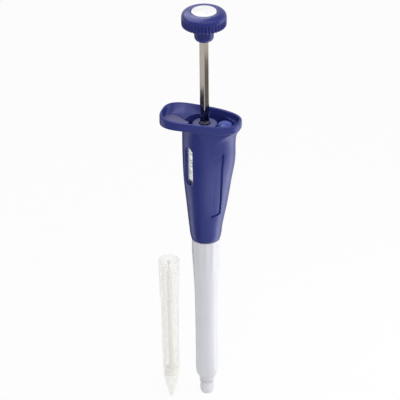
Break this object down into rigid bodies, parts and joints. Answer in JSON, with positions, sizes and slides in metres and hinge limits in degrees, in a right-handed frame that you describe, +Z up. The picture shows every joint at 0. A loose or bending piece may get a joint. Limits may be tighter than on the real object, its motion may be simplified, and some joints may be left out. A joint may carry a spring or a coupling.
{
  "type": "positive displacement pipette",
  "caption": "Hand-held positive displacement pipette with a volume counter, a long push rod with a knob, and its piston tip standing beside it.",
  "frame": {"origin": "middle of the flat land under the finger rest, where the pipette hangs on its hanger; the plunger's axis is 22 mm along +X from it", "axes": "+Z up along the plunger's axis towards the knob, -X towards the end of the finger rest, -Y towards the side that the counter's window faces"},
  "size_m": [0.0554, 0.0345, 0.2906],
  "materials": {
    "handle_plastic": "moulded blue-violet plastic, semi-gloss",
    "guide_plastic": "light blue-violet plastic, satin",
    "soft_pad": "soft-touch pad, satin",
    "window_clear": "clear moulded window",
    "frame_alloy": "cast alloy",
    "nut_brass": "turned brass",
    "spring_steel": "turned or wound steel",
    "rod_steel": "ground and brushed steel",
    "barrel_plastic": "white plastic, satin",
    "cap_plastic": "white plastic, gloss",
    "counter_plastic": "white plastic with dark plain numbers",
    "slide_polymer": "natural bearing polymer",
    "seal_rubber": "pale elastomer",
    "button_plastic": "bright blue plastic, gloss",
    "tip_clear": "translucent natural polypropylene",
    "tip_seal": "natural polyethylene piston head",
    "tip_rod_plastic": "natural plastic piston rod"
  },
  "bodies": {
    "handle": {"handle_shell": "handle_plastic", "tray_deck": "handle_plastic", "rod_guide": "guide_plastic", "rest_pad": "soft_pad", "window_lens": "window_clear", "core_frame": "frame_alloy", "setting_nut": "nut_brass", "pinion_shaft": "spring_steel", "frame_screw_front": "spring_steel", "frame_screw_back": "spring_steel", "barrel": "barrel_plastic", "barrel_union": "slide_polymer", "spring_seat": "slide_polymer", "stop_sleeve": "spring_steel", "rod_bush": "slide_polymer", "nose_cone": "barrel_plastic", "nose_seal": "seal_rubber", "main_spring": "spring_steel"},
    "setting_carriage": {"thrust_washer": "nut_brass"},
    "setting_spindle": {"setting_screw": "spring_steel"},
    "plunger": {"knob_shell": "handle_plastic", "knob_cap": "cap_plastic", "knob_collar": "handle_plastic", "knob_screw": "spring_steel", "push_rod": "rod_steel", "stop_collar": "spring_steel", "stop_screw": "spring_steel", "rod_coupler": "spring_steel", "piston_rod": "rod_steel", "tip_collet": "spring_steel", "collet_ring": "seal_rubber"},
    "counter_drive": {"drive_sleeve": "slide_polymer", "tenths_ring": "counter_plastic", "tick_ring": "counter_plastic", "ring_clip": "spring_steel"},
    "ml_counter": {"ml_ring": "counter_plastic"},
    "carry": {"carry_pinion": "slide_polymer"},
    "lock": {"lock_button": "button_plastic", "lock_pawl": "spring_steel", "lock_spring": "spring_steel"},
    "tip": {"tip_barrel": "tip_clear"},
    "tip_plunger": {"tip_piston": "tip_seal", "tip_rod": "tip_rod_plastic"}
  },
  "joints": [
    {"name": "volume_travel", "type": "slide", "parent": "handle", "child": "setting_carriage", "axis": [0, 0, 1], "range_m": [-0.054, 0]},
    {"name": "volume_set", "type": "hinge", "parent": "setting_carriage", "child": "setting_spindle", "pos_m": [0.022, 0, -0.0577], "axis": [0, 0, 1], "range_deg": [-1621, 1]},
    {"name": "plunger_press", "type": "slide", "parent": "setting_spindle", "child": "plunger", "axis": [0, 0, -1], "range_m": [0, 0.06], "stiffness_N_per_m": 130, "springref_m": -0.03, "deforming": ["main_spring"]},
    {"name": "counter_turn", "type": "hinge", "parent": "handle", "child": "counter_drive", "pos_m": [0.022, 0, -0.0267], "axis": [0, 0, 1], "range_deg": [-1621, 1]},
    {"name": "ml_turn", "type": "hinge", "parent": "handle", "child": "ml_counter", "pos_m": [0.022, 0, -0.0177], "axis": [0, 0, 1], "range_deg": [-163, 1]},
    {"name": "carry_turn", "type": "hinge", "parent": "handle", "child": "carry", "pos_m": [0.03307, 0.00719, -0.0227], "axis": [0, 0, 1], "range_deg": [-1, 811]},
    {"name": "lock_press", "type": "slide", "parent": "handle", "child": "lock", "axis": [0, 0, -1], "range_m": [0, 0.002], "stiffness_N_per_m": 400, "springref_m": -0.002, "deforming": ["lock_spring"]},
    {"name": "tip_lift", "type": "slide", "parent": "handle", "child": "tip", "axis": [0, 0, 1], "range_m": [0, 0.03]},
    {"name": "tip_piston_draw", "type": "slide", "parent": "tip", "child": "tip_plunger", "axis": [0, 0, 1], "range_m": [0, 0.06]}
  ],
  "couplings": [
    {"joint": "volume_set", "follows": "volume_travel", "rad_per_m": 523.6},
    {"joint": "counter_turn", "follows": "volume_travel", "rad_per_m": 523.6},
    {"joint": "ml_turn", "follows": "volume_travel", "rad_per_m": 52.36},
    {"joint": "carry_turn", "follows": "volume_travel", "rad_per_m": -261.8}
  ]
}
